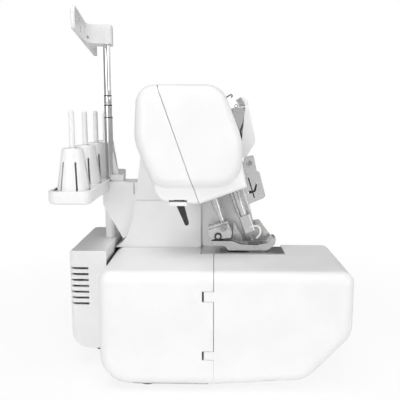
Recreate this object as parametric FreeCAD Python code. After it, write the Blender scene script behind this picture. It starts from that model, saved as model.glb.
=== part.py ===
"""Four-thread overlock sewing machine with its thread stand, in millimetres.

Z is up from the table, the operator sits at -Y, and the handwheel is at +X.
"""
import FreeCAD, Part
import math
import os

from FreeCAD import Vector

# Overall sizes
overall_width = 330.0
overall_depth = 298.0
bed_top = 122.0
head_height = 180.5
head_top = bed_top + head_height

# Planes that the casings share
left_face = -overall_width / 2
front_face = -overall_depth / 2
rear_face = overall_depth / 2
casing_right = 131.0
cover_bottom = 5.0
seam_y = -12.5
seam_gap = 0.6
bed_rear = 101.0
split_x = -48.0
wall = 2.6
fit_gap = 0.3
running_gap = 0.05

# Base
foot_height = 6.0
foot_radius = 12.0
base_thickness = 3.0
base_top = foot_height + base_thickness
plate_end = left_face + 2 * wall

# Left end cover and swing-out side cover
end_round = 11.0
bed_rear_round = 30.0
bed_edge_round = 12.0
cover_nose_z = 58.0
cover_chin_y = -105.0
cover_chin_z = 11.0
side_cover_right = -47.0
hinge_x = left_face + 2.0
hinge_y = seam_y + 4.5
hinge_pin_radius = 1.2
tab_reach = 10.0
tab_depth = 5.0
tab_heights = [(34.0, 42.5), (93.5, 103.5)]
hinge_lug = 6.0

# Needle plate and the stitching axis
plate_left = -91.0
plate_right = -58.5
plate_front = -90.0
plate_rear = 1.7
plate_thickness = 3.2
plate_proud = 0.8
plate_top = bed_top + plate_proud
stitch_x = -75.0
needle_y = -59.5
bar_tilt = 19.4
needle_bar_radius = 4.0
presser_y = needle_y + 24.9
presser_radius = 3.2
clamp_bottom = plate_top + 22.0
clamp_top = plate_top + 42.0
bar_foot = plate_top + 38.0
bar_top = plate_top + 122.0
presser_foot_z = plate_top + 30.0
needle_radius = 0.85
needle_top = plate_top + 34.0

# Inner frame, loopers, feed, knives, lever and foot
frame_left = split_x - 5.5
frame_right = split_x - 0.8
frame_front = plate_front + 2.0
shelf_thickness = 6.0
rib_front = -8.0
rib_rear = -3.0
lower_looper_x = -80.0
lower_looper_z = bed_top - 82.0
upper_looper_x = -63.0
upper_looper_z = bed_top - 60.0
looper_shaft = 4.0
feed_x = stitch_x
feed_rear = -24.0
feed_teeth = 6
feed_pitch = 3.0
feed_front = feed_rear - feed_teeth * feed_pitch
feed_bar_bottom = bed_top - 22.0
feed_bar_top = bed_top - 16.0
knife_pivot_y = -36.0
knife_pivot_z = bed_top - 30.0
knife_pin = 3.0
knife_left = -58.2
blade_left = -56.6
blade_right = -54.6
lever_x = -104.0
lever_width = 6.0
lever_pivot_y = 25.0
lever_pivot_z = bed_top + 71.0
lever_pin = 2.5
foot_pin_y = -17.2
foot_pin_z = bed_top + 18.0
foot_pin_radius = 2.2
foot_screw_y = -23.0
foot_screw_z = bed_top + 28.0
foot_screw_radius = 4.2
foot_thread_radius = 1.5
foot_left = -84.0
foot_right = -66.0

# Head and arm
head_left = -120.0
head_round = 12.0
skirt_left = -113.0
skirt_round = 4.0
arm_left = -59.4
arm_right = 117.4
nose_left = -52.0
arm_front = -42.0
bed_front = arm_front
column_left = -62.4
column_front = 2.0
seam_top_y = 45.5
seam_foot_y = 2.4
seam_foot_z = bed_top + 58.0
flare_top_y = 79.4
flare_top_z = bed_top + 37.5

# Looper cover
looper_left = -45.5
looper_axis_y = -104.0
looper_axis_z = 15.0
looper_pin_radius = 2.0
looper_lug_left = -37.0
looper_lug_right = -31.0

# Motor box and drive
box_left = -112.0
box_right = 12.0
box_top = bed_top + 8.0
box_bottom = 22.0
box_rear = 142.0
rear_foot_y = 119.0
rear_foot_radius = 9.0
vent_count = 7
vent_pitch = 6.5
vent_height = 2.4
vent_first_z = 72.0
vent_front_y = 120.6
shaft_y = 40.0
shaft_z = 75.0
shaft_radius = 5.0
motor_radius = 17.0
motor_gap = 0.1
motor_y = bed_rear + fit_gap + wall + motor_gap + motor_radius
motor_z = 78.0
motor_shaft_radius = 3.0
bush_radius = 9.0
bush_width = 5.0
shaft_right = 152.0
belt_left = -10.0
belt_width = 8.0
belt_thickness = 2.0
motor_pulley_radius = 9.0
shaft_pulley_radius = 24.0
handwheel_radius = 44.0
handwheel_left = 134.0

# Thread stand
stand_x = -41.0
pole_y = 108.7
spool_y = 129.6
spool_pitch = 56.0
spool_count = 4
tray_length = 228.0
tray_front = 107.0
tray_bottom = bed_top + 64.0
tray_floor = bed_top + 75.2
tray_rim = bed_top + 77.0
tray_wall = 2.5
bracket_width = 34.0
bracket_top = bed_top + 74.5
post_radius = 6.2
pole_radii = [4.6, 4.2, 3.8]
pole_wall = 0.35
pole_tops = [bed_top + 148.0, bed_top + 161.0, bed_top + 235.0]
pole_feet = [bed_top + 10.0, bed_top + 25.0, bed_top + 94.0]
pin_top = bed_top + 155.0
pin_base_radius = 3.3
pin_tip_radius = 2.7
cone_height = 42.0
cone_base_radius = 16.6
cone_top_radius = 10.6
cone_wall = 1.8
guide_turn = 7.3
guide_length = 244.0
guide_height = 20.0
guide_bottom = bed_top + 227.5
guide_thickness = 4.0
guide_setback = 22.0
eyelet_radius = 1.8

# Controls
panel_left = -70.0
panel_right = 66.0
dial_radius = 9.0
dial_width = 9.0
dial_pitch = 30.0
dial_first_x = -44.0
dial_y = -47.6
dial_pin = 2.0
dial_z = bed_top + 135.0
tension_count = 4
knob_radius = 14.0
knob_stub = 4.0
stitch_dial = (-20.0, 98.0)
feed_dial = (-62.0, 72.0)
switch_y = -30.0
switch_z = 40.0
switch_pin = 1.0
switch_pin_x = casing_right - 2.5
inlet_y = 5.0
inlet_z = 20.0


def round_corner(before, corner, after, radius):
    """Start, middle and end of the arc that rounds one corner."""
    to_before = (before - corner).normalize()
    to_after = (after - corner).normalize()
    half = to_before.getAngle(to_after) / 2
    reach = radius / math.tan(half)
    bisector = (to_before + to_after).normalize()
    middle = corner + bisector * (radius / math.sin(half) - radius)
    return corner + to_before * reach, middle, corner + to_after * reach


def outline(corners, place):
    """Flat face through corners (a, b, radius), each rounded where a radius is given."""
    points = [Vector(corner[0], corner[1], 0) for corner in corners]
    count = len(points)
    pieces = []
    for i, corner in enumerate(corners):
        if len(corner) > 2:
            pieces.append(round_corner(points[i - 1], points[i], points[(i + 1) % count], corner[2]))
        else:
            pieces.append((points[i], None, points[i]))
    edges = []
    for i, (start, middle, end) in enumerate(pieces):
        if middle is not None:
            edges.append(Part.Arc(place(start), place(middle), place(end)).toShape())
        following = pieces[(i + 1) % count][0]
        if (following - end).Length > 1e-6:
            edges.append(Part.LineSegment(place(end), place(following)).toShape())
    return Part.Face(Part.Wire(edges))


def face_yz(corners, x):
    """Outline in the YZ plane at one X."""
    return outline(corners, lambda p: Vector(x, p.x, p.y))


def prism_x(corners, x0, x1):
    """Outline in YZ carried from x0 to x1."""
    return face_yz(corners, x0).extrude(Vector(x1 - x0, 0, 0))


def prism_y(corners, y0, y1):
    """Outline in XZ carried from y0 to y1."""
    face = outline(corners, lambda p: Vector(p.x, y0, p.y))
    return face.extrude(Vector(0, y1 - y0, 0))


def prism_z(corners, z0, z1):
    """Outline in XY carried from z0 to z1."""
    face = outline(corners, lambda p: Vector(p.x, p.y, z0))
    return face.extrude(Vector(0, 0, z1 - z0))


def rectangle(a0, a1, b0, b1, radius=None):
    """Corners of a rectangle, all with the same round."""
    corners = [(a0, b0), (a1, b0), (a1, b1), (a0, b1)]
    if radius is None:
        return corners
    return [corner + (radius,) for corner in corners]


def box(x0, x1, y0, y1, z0, z1):
    """Plain block between two corners."""
    return Part.makeBox(x1 - x0, y1 - y0, z1 - z0, Vector(x0, y0, z0))


def rod_x(y, z, radius, x0, x1):
    """Round bar along X."""
    return Part.makeCylinder(radius, x1 - x0, Vector(x0, y, z), Vector(1, 0, 0))


def rod_y(x, z, radius, y0, y1):
    """Round bar along Y."""
    return Part.makeCylinder(radius, y1 - y0, Vector(x, y0, z), Vector(0, 1, 0))


def rod_z(x, y, radius, z0, z1):
    """Round bar along Z."""
    return Part.makeCylinder(radius, z1 - z0, Vector(x, y, z0), Vector(0, 0, 1))


def turned_z(x, y, profile):
    """Body of revolution about an upright axis from (radius, height) points."""
    points = [Vector(x + radius, y, height) for radius, height in profile]
    face = Part.Face(Part.makePolygon(points + points[:1]))
    return face.revolve(Vector(x, y, 0), Vector(0, 0, 1), 360)


def turned_x(y, z, profile):
    """Body of revolution about an axis along X from (x, radius) points."""
    points = [Vector(x, y, z + radius) for x, radius in profile]
    face = Part.Face(Part.makePolygon(points + points[:1]))
    return face.revolve(Vector(0, y, z), Vector(1, 0, 0), 360)


def edges_at_x(shape, x):
    """Edges of a shape that lie in one plane across X."""
    return [e for e in shape.Edges if abs(e.BoundBox.XMin - x) < 1e-4 and abs(e.BoundBox.XMax - x) < 1e-4]


def edges_at_z(shape, z):
    """Edges of a shape that lie at one height."""
    return [e for e in shape.Edges if abs(e.BoundBox.ZMin - z) < 1e-4 and abs(e.BoundBox.ZMax - z) < 1e-4]


def end_rounded(corners, x0, x1, radius, keep=None):
    """Prism along X whose edges at x0 are rounded, apart from those that keep selects."""
    body = prism_x(corners, x0, x1)
    chosen = edges_at_x(body, x0)
    if keep is not None:
        chosen = [e for e in chosen if not keep(e)]
    return body.makeFillet(radius, chosen)


def along_bar(shape):
    """Lean a shape that was drawn upright over the needle point to the angle of the bars."""
    leaned = shape.copy()
    leaned.rotate(Vector(stitch_x, needle_y, plate_top), Vector(1, 0, 0), -bar_tilt)
    return leaned


def save(name, shape):
    """Write one node."""
    shape.removeSplitter().exportStep(os.path.join("parts", name + ".step"))


def group(shapes):
    """Several separate solids in one node."""
    return Part.makeCompound(shapes)


def on_seam(edge):
    """True for an edge that runs up the seam between the two left covers."""
    return abs(edge.BoundBox.YMin - edge.BoundBox.YMax) < 1e-4 and abs(edge.BoundBox.YMin - seam_y) < 1.0


def bed_corners(front, inset):
    """Rear part of the bed's side profile, drawn in by a wall."""
    return [
        (front, cover_bottom - (1.0 if inset else 0.0)),
        (bed_rear - inset, cover_bottom - (1.0 if inset else 0.0), bed_rear_round - inset),
        (bed_rear - inset, bed_top - inset, bed_edge_round - inset),
        (front, bed_top - inset),
    ]


def side_corners(rear, inset):
    """Front part of the bed's side profile, drawn in by a wall."""
    return [
        (rear, cover_bottom + 2 * inset),
        (rear, bed_top - inset),
        (front_face + inset, bed_top - inset, bed_edge_round - inset),
        (front_face + inset, cover_nose_z + inset / 2, 22.0 - inset),
        (cover_chin_y + inset / 2, cover_chin_z + inset, 26.0 - inset),
    ]


def make_base():
    """Base plate with the rubber feet under it."""
    plate = prism_z([
        (plate_end, seam_y + 5.0), (-88.0, seam_y + 5.0), (-88.0, -96.0, 6.0),
        (arm_right - 2.0, -96.0, 6.0), (arm_right - 2.0, bed_rear - bed_rear_round, 6.0),
        (plate_end, bed_rear - bed_rear_round, 6.0),
    ], foot_height, base_top)
    lug = prism_x([
        (-90.0, foot_height), (-90.0, base_top + 5.0, 3.0), (looper_axis_y + 4.0, looper_axis_z + 5.5, 3.0),
        (looper_axis_y - 5.5, looper_axis_z + 5.5, 5.4), (looper_axis_y - 5.5, looper_axis_z - 5.5, 5.4),
        (-96.0, foot_height),
    ], looper_lug_left, looper_lug_right)
    lug = lug.cut(
        rod_x(looper_axis_y, looper_axis_z, looper_pin_radius, looper_lug_left - 1, looper_lug_right + 1),
    )
    save("base_plate", plate.fuse(lug))
    feet = [
        make_rubber_foot(x, y, foot_radius, foot_height)
        for x, y in ((-70.0, -80.0), (100.0, -80.0), (-140.0, 55.0), (100.0, 55.0))
    ]
    feet += [make_rubber_foot(x, rear_foot_y, rear_foot_radius, box_bottom) for x in (-60.0, -15.0)]
    save("rubber_feet", group(feet))


def make_rubber_foot(x, y, radius, height):
    """Round foot with its lower edge bevelled."""
    return turned_z(x, y, [(0, 0), (radius - 2, 0), (radius, 2), (radius, height), (0, height)])


def make_end_cover():
    """Left end cover, the rear half of the end, with its hinge lugs."""
    front = seam_y + seam_gap / 2
    shell = end_rounded(bed_corners(front, 0), left_face, split_x - fit_gap, end_round, on_seam)
    hollow = end_rounded(
        bed_corners(front - 1.0, wall), left_face + wall, split_x + 1.0, end_round - wall, on_cavity_seam,
    )
    cover = shell.cut(hollow)
    cover = cover.cut(
        box(plate_end - fit_gap, split_x + 1, front - 1, bed_rear - bed_rear_round + fit_gap, 0, base_top),
    )
    for low, high in tab_heights:
        lug = box(
            left_face + wall / 2, left_face + tab_depth, front, front + 8.0, low - hinge_lug,
            high + hinge_lug,
        )
        cover = cover.fuse(lug)
        notch = box(
            left_face - 1, left_face + tab_depth + 6.0, front - 1, hinge_y + 6.8, low - fit_gap,
            high + fit_gap,
        )
        cover = cover.cut(notch)
        cover = cover.cut(rod_z(hinge_x, hinge_y, hinge_pin_radius, low - hinge_lug, high + hinge_lug))
    recess = box(
        plate_left - fit_gap, plate_right + fit_gap, front - 1, plate_rear + fit_gap, bed_top - 2 * wall,
        bed_top + 1,
    )
    save("left_end_cover", cover.cut(recess))


def on_cavity_seam(edge):
    """True for the cavity's edge beside the seam."""
    return abs(edge.BoundBox.YMin - edge.BoundBox.YMax) < 1e-4 and abs(edge.BoundBox.YMin - seam_y) < 3.0


def make_side_cover():
    """Swing-out side cover with the cloth plate on top."""
    rear = seam_y - seam_gap / 2
    shell = end_rounded(side_corners(rear, 0), left_face, side_cover_right, end_round, on_seam)
    hollow = end_rounded(
        side_corners(rear + 1.0, wall), left_face + wall, side_cover_right + 1, end_round - wall,
        on_cavity_seam,
    )
    cover = shell.cut(hollow)
    cover = cover.cut(box(plate_left - fit_gap, 0, plate_front - fit_gap, 0, 0, bed_top + 1))
    for low, high in tab_heights:
        tab = prism_z([
            (left_face, rear - 4.0), (left_face, rear + tab_reach, 1.0),
            (left_face + tab_depth, rear + tab_reach, 2.0), (left_face + tab_depth, rear - 4.0),
        ], low, high)
        cover = cover.fuse(tab)
        cover = cover.cut(rod_z(hinge_x, hinge_y, hinge_pin_radius + running_gap, low - 1, high + 1))
    save("side_cover", cover)


def belt_window():
    """Opening for the belt, through the rear of the bed and the front of the motor box."""
    front = bed_rear - 2 * wall
    rear = bed_rear + 2 * wall
    return box(belt_left - 4.0, belt_left + belt_width + 4.0, front, rear, 40.0, 106.0)


def make_bed():
    """Bed casing with the two webs that carry the main shaft."""
    front = bed_front
    shell = prism_x(bed_corners(front, 0), split_x + fit_gap, arm_right)
    hollow = prism_x(bed_corners(front + wall, wall), split_x - 1, arm_right + 1)
    casing = shell.cut(hollow)
    casing = casing.cut(box(split_x - 1, arm_right + 1, front - 1, bed_rear - bed_rear_round, 0, base_top))
    bushes = []
    for x0 in (-38.0, 98.0):
        web = prism_x(bed_corners(front + 1.0, wall - 0.5), x0, x0 + bush_width)
        web = web.cut(box(x0 - 1, x0 + 6, front, bed_rear, 0, base_top))
        web = web.cut(rod_x(shaft_y, shaft_z, bush_radius, x0 - 1, x0 + 6))
        casing = casing.fuse(web)
        bush = rod_x(shaft_y, shaft_z, bush_radius, x0, x0 + bush_width)
        bush = bush.fuse(rod_x(shaft_y, shaft_z, bush_radius + 2.0, x0 - 2.0, x0))
        bushes.append(bush.cut(rod_x(shaft_y, shaft_z, shaft_radius + running_gap, x0 - 3, x0 + 6)))
    save("bed_casing", casing.cut(belt_window()))
    save("shaft_bushes", group(bushes))


def make_frame():
    """Cast inner frame: shaft wall, looper rib and the shelf under the needle plate."""
    shelf_top = bed_top + plate_proud - plate_thickness
    under_bed = bed_top - wall - fit_gap
    side = prism_x([
        (-88.0, base_top), (60.0, base_top, 8.0), (60.0, bed_top - 22.0, 20.0),
        (plate_rear, under_bed - 6.0),
        (plate_rear, under_bed),
        (frame_front, under_bed),
    ], frame_left, frame_right)
    shelf_bottom = shelf_top - shelf_thickness
    rib = box(plate_left + 1.0, frame_left, rib_front, rib_rear, base_top, shelf_bottom)
    shelf = box(plate_left + 1.0, plate_right, frame_front, plate_rear, shelf_bottom, shelf_top)
    shelf = shelf.fuse(box(plate_right, frame_left, frame_front, plate_rear, shelf_bottom, under_bed))
    shelf = shelf.cut(box(-86.0, -64.0, -76.0, -16.0, shelf_bottom - 1, shelf_top + 1))
    shelf = shelf.cut(box(plate_right - fit_gap, frame_left, -76.0, -26.0, shelf_bottom - 1, shelf_top + 1))
    frame = side.fuse([rib, shelf])
    frame = frame.cut(
        rod_y(lower_looper_x, lower_looper_z, looper_shaft + running_gap, rib_front - 1, rib_rear + 1),
    )
    frame = frame.cut(
        rod_y(upper_looper_x, upper_looper_z, looper_shaft + running_gap, rib_front - 1, rib_rear + 1),
    )
    frame = frame.cut(feed_bar(fit_gap))
    frame = frame.cut(rod_x(knife_pivot_y, knife_pivot_z, knife_pin, frame_left - 1, frame_right + 1))
    save("main_frame", frame)


def make_loopers():
    """The two loopers, each an arm and a curved blade on a shaft through the rib."""
    lower = rod_y(lower_looper_x, lower_looper_z, looper_shaft, -34.0, 6.0)
    lower = lower.fuse(prism_y([
        (-85.0, lower_looper_z - 6.0, 4.0), (-75.0, lower_looper_z - 6.0, 4.0),
        (-77.0, lower_looper_z + 42.0, 6.0), (-64.0, lower_looper_z + 52.0, 1.0),
        (-80.0, lower_looper_z + 54.0, 8.0), (-84.0, lower_looper_z + 40.0, 6.0),
    ], -34.0, -28.0))
    upper = rod_y(upper_looper_x, upper_looper_z, looper_shaft, -50.0, 6.0)
    upper = upper.fuse(prism_y([
        (-68.0, upper_looper_z - 6.0, 4.0), (-58.5, upper_looper_z - 6.0, 4.0),
        (-60.0, upper_looper_z + 22.0, 8.0), (-76.0, upper_looper_z + 44.0, 1.0),
        (-66.0, upper_looper_z + 18.0, 8.0),
    ], -50.0, -45.5))
    save("lower_looper", lower)
    save("upper_looper", upper)


def make_feed_and_knives():
    """Feed dog under the needle plate and the pair of trimming knives."""
    head = box(feed_x - 6, feed_x + 6, feed_front, feed_rear, feed_bar_top, feed_bar_top + 6.0)
    feed = feed_bar(0).fuse(head)
    for x in feed_rows():
        teeth = [
            (feed_front, feed_bar_top + 5.0), (feed_rear, feed_bar_top + 5.0), (feed_rear, plate_top - 1.4),
        ]
        for i in range(feed_teeth):
            tip = feed_rear - feed_pitch * (i + 0.5)
            teeth += [(tip, plate_top - 0.4), (tip - feed_pitch / 2, plate_top - 1.4)]
        feed = feed.fuse(prism_x(teeth, x - 0.9, x + 0.9))
    save("feed_dog", feed)
    lower = prism_x(
        [
            (-66.0, feed_bar_bottom), (-50.0, feed_bar_bottom), (-50.0, plate_top - 0.4),
            (-66.0, plate_top - 0.4),
        ], knife_left,
        knife_left + 1.2,
    )
    lower = lower.fuse(box(knife_left, frame_left, -66.0, -58.0, feed_bar_bottom, feed_bar_bottom + 3.0))
    save("lower_knife", lower)
    blade = [
        (knife_pivot_y + 6.0, knife_pivot_z - 6.0, 5.9), (knife_pivot_y + 6.0, knife_pivot_z + 6.0, 5.0),
        (-48.0, bed_top - 10.0, 8.0),
        (-49.0, bed_top + 23.0, 4.0), (-57.0, bed_top + 31.0, 2.0), (-64.5, bed_top + 32.0, 3.0),
        (-68.5, bed_top + 26.0, 4.0),
        (-80.0, bed_top + 10.5, 2.0),
        (-77.0, plate_top + 3.0, 2.0), (-57.0, plate_top + 3.0),
        (-57.0, bed_top - 14.0, 4.0), (knife_pivot_y - 6.0, knife_pivot_z - 6.0, 5.9),
    ]
    upper = prism_x(blade, blade_left, blade_right).cut(
        rod_x(knife_pivot_y, knife_pivot_z, knife_pin + running_gap, -60, -50),
    )
    save("upper_knife", upper)


def feed_bar(gap):
    """Square bar that the feed dog rides on, or its guide with a gap all round."""
    half = 3.0 + gap
    return box(
        feed_x - half, feed_x + half, feed_front + 1.0, 4.0, feed_bar_bottom - gap, feed_bar_top + gap,
    )


def feed_rows():
    """X of each row of feed teeth."""
    return [feed_x - 5.0, feed_x, feed_x + 5.0]


def make_needle_plate():
    """Needle plate with the slots for the feed teeth and the needles."""
    plate = prism_z(
        rectangle(plate_left, plate_right, plate_front, plate_rear, 3.0), plate_top - plate_thickness,
        plate_top,
    )
    low = plate_top - plate_thickness - 1
    high = plate_top + 1
    for x in feed_rows():
        plate = plate.cut(box(x - 1.5, x + 1.5, -52.0, -20.0, low, high))
    plate = plate.cut(prism_z(rectangle(stitch_x - 6.0, stitch_x + 6.0, -67.0, -53.5, 2.0), low, high))
    plate = plate.cut(
        box(arm_left - fit_gap, plate_right + 1, arm_front - fit_gap, plate_rear + 1, low, high),
    )
    save("needle_plate", plate)


def head_corners(inset):
    """End outline of the head, drawn in by a wall."""
    return [
        (66.5 - inset, head_top - inset, 20.0 - inset / 2),
        (-20.0 + inset / 2, head_top - inset, 24.0 - inset),
        (-42.0 + inset, bed_top + 123.0, 60.0), (-41.2 + inset, bed_top + 75.0 + inset, 27.0 - inset),
        (50.0 - inset / 2, bed_top + 74.5 + inset, 20.0 - inset), (70.0 - inset, bed_top + 124.0, 50.0),
    ]


def seam_side(shift, far_y):
    """Everything on one side of the slanted seam."""
    lean = (seam_top_y - seam_foot_y) / (head_top - seam_foot_z)
    low = seam_foot_y - 60 * lean + shift
    high = seam_top_y + 40 * lean + shift
    return prism_x(
        [(low, seam_foot_z - 60), (high, head_top + 40), (far_y, head_top + 40), (far_y, seam_foot_z - 60)],
        -150, 0,
    )


def head_solid():
    """Outside of the head with the skirt that hangs below it."""
    right = arm_left - fit_gap
    head = end_rounded(head_corners(0), head_left, right, head_round)
    skirt = prism_x([
        (50.5, bed_top + 108.0), (50.0, bed_top + 59.5, 18.0), (seam_foot_y, seam_foot_z),
        (-46.8, bed_top + 76.0, 1.5), (-41.0, bed_top + 104.0),
    ], skirt_left, right)
    skirt = skirt.makeFillet(
        skirt_round, [e for e in edges_at_x(skirt, skirt_left) if e.BoundBox.ZMax < bed_top + 107.0],
    )
    return head.fuse(skirt)


def make_head():
    """Head covers split along the slanted seam, open below for the bars and the lever."""
    right = arm_left - fit_gap
    inner = end_rounded(head_corners(wall), head_left + wall, right + 1, head_round - wall)
    under = prism_x([
        (50.5 - wall, bed_top + 108.0), (50.0 - wall, bed_top + 59.5 + wall, 18.0 - wall),
        (seam_foot_y, seam_foot_z + wall),
        (seam_foot_y - 1.0, seam_foot_z - 10.0), (-46.8 + wall, bed_top + 66.0),
        (-46.8 + wall, bed_top + 78.0),
        (-41.0 + wall, bed_top + 104.0),
    ], skirt_left + wall, right + 1)
    head = head_solid().cut(inner.fuse(under))
    rear = head.cut(seam_side(seam_gap / 2, -150))
    front = head.cut(seam_side(-seam_gap / 2, 150))
    lever_slot = box(
        lever_x - lever_width / 2 - 1.0, lever_x + lever_width / 2 + 1.0, 4.0, 47.0,
        bed_top + 48.0, bed_top + 64.5,
    )
    tab = prism_x(
        rectangle(15.4, 34.1, bed_top + 56.6, bed_top + 62.0, 1.0), skirt_left + 0.3, skirt_left + wall,
    )
    slit = box(skirt_left - 1, skirt_left + wall + 1, 15.4, 34.1, bed_top + 60.7, bed_top + 63.0)
    save("head_rear_cover", rear.cut(lever_slot).fuse(tab).cut(slit))
    save("head_front_cover", front)


def column_solid(x0, x1):
    """Column under the arm, with its rear flaring onto the bed."""
    flare = Part.BezierCurve()
    flare.setPoles([
        Vector(x0, flare_top_y, flare_top_z), Vector(x0, 82.5, bed_top + 22.0),
        Vector(x0, 87.0, bed_top + 6.0),
        Vector(x0, bed_rear - 0.5, bed_top),
    ])
    points = [
        Vector(x0, bed_rear - 0.5, bed_top), Vector(x0, arm_front, bed_top),
        Vector(x0, arm_front, bed_top + 128.0),
        Vector(x0, 68.0, bed_top + 118.0), Vector(x0, flare_top_y, flare_top_z),
    ]
    edges = [Part.LineSegment(points[i], points[i + 1]).toShape() for i in range(len(points) - 1)]
    edges.append(flare.toShape())
    return Part.Face(Part.Wire(Part.__sortEdges__(edges))).extrude(Vector(x1 - x0, 0, 0))


def make_arm():
    """Arm casing on its column, the column cover and the lamp."""
    arm = prism_x(head_corners(0), arm_left, arm_right).fuse(column_solid(arm_left, arm_right))
    nose = prism_x([
        (arm_front + 1.0, bed_top + 78.0), (-47.0, bed_top + 76.0), (-58.0, bed_top + 28.5),
        (-60.5, bed_top + 17.0, 6.0), (-54.0, bed_top + 6.0, 6.0),
        (arm_front + 1.0, bed_top + 3.0),
    ], nose_left, looper_left - fit_gap * 2)
    arm = arm.fuse(nose)
    cavity = prism_x([
        (62.0, head_top - 4.0, 16.0), (-18.0, head_top - 4.0, 20.0), (-37.0, bed_top + 122.0, 40.0),
        (-38.0, bed_top + 4.0),
        (76.0, bed_top + 4.0), (75.0, bed_top + 38.0), (63.0, bed_top + 124.0, 30.0),
    ], arm_left + 4.0, arm_right + 1)
    save("arm_casing", arm.cut(cavity))
    cover = column_solid(column_left, arm_left)
    cover = cover.cut(box(column_left - 1, arm_left + 1, -100, column_front, 0, head_top))
    cover = cover.cut(box(column_left - 1, arm_left + 1, -100, 200, bed_top + 54.0, head_top))
    save("column_cover", cover)
    save(
        "lamp",
        prism_x(rectangle(20.0, 38.0, bed_top + 83.0, bed_top + 91.0, 3.0), arm_left - 3.0, arm_left),
    )


def make_bars():
    """Bar housing with the needle bar, presser bar and all that they carry."""
    height = plate_top
    housing = box(-86.0, arm_left, needle_y - 9.0, needle_y + 32.0, height + 76.0, height + 104.0)
    block = rectangle(-67.0, arm_left, needle_y - 9.5, needle_y + 7.0, 2.0)
    housing = housing.fuse(prism_z(block, clamp_top, height + 77.0))
    housing = housing.fuse(rod_z(stitch_x, presser_y, 4.6, height + 58.0, height + 77.0))
    housing = housing.cut(rod_z(stitch_x, needle_y, needle_bar_radius + running_gap, height, bar_top))
    housing = housing.cut(rod_z(stitch_x, presser_y, presser_radius + running_gap, height, bar_top))
    housing = along_bar(housing).cut(box(arm_left, 0, -100, 100, plate_top, head_top))
    save("bar_housing", housing)
    save("needle_bar", along_bar(rod_z(stitch_x, needle_y, needle_bar_radius, bar_foot, bar_top)))
    clamp = prism_z(
        rectangle(stitch_x - 6.0, stitch_x + 6.0, needle_y - 7.0, needle_y + 6.0, 2.5), clamp_bottom,
        clamp_top,
    )
    clamp = clamp.makeFillet(1.2, edges_at_z(clamp, clamp_bottom))
    clamp = clamp.cut(rod_z(stitch_x, needle_y, needle_bar_radius, bar_foot, clamp_top + 1))
    needles = []
    for x, lift in ((stitch_x - 1.6, 0.8), (stitch_x + 1.6, 0.0)):
        needle = turned_z(x, needle_y, [
            (0, height + 8.0 + lift), (0.45, height + 11.0 + lift), (0.45, clamp_bottom - 2.0),
            (needle_radius, clamp_bottom), (needle_radius, needle_top), (0, needle_top),
        ])
        clamp = clamp.cut(rod_z(x, needle_y, needle_radius, clamp_bottom - 2.0, needle_top))
        needles.append(along_bar(needle))
    screws = [
        rod_y(x, height + 29.0, 1.6, needle_y - 9.5, needle_y - 3.0)
        for x in (stitch_x - 3.6, stitch_x + 3.6)
    ]
    for screw in screws:
        clamp = clamp.cut(screw)
    save("needle_clamp", along_bar(clamp))
    save("needles", group(needles))
    save("clamp_screws", group([along_bar(screw) for screw in screws]))
    save("presser_bar", along_bar(rod_z(stitch_x, presser_y, presser_radius, presser_foot_z, bar_top)))


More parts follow.
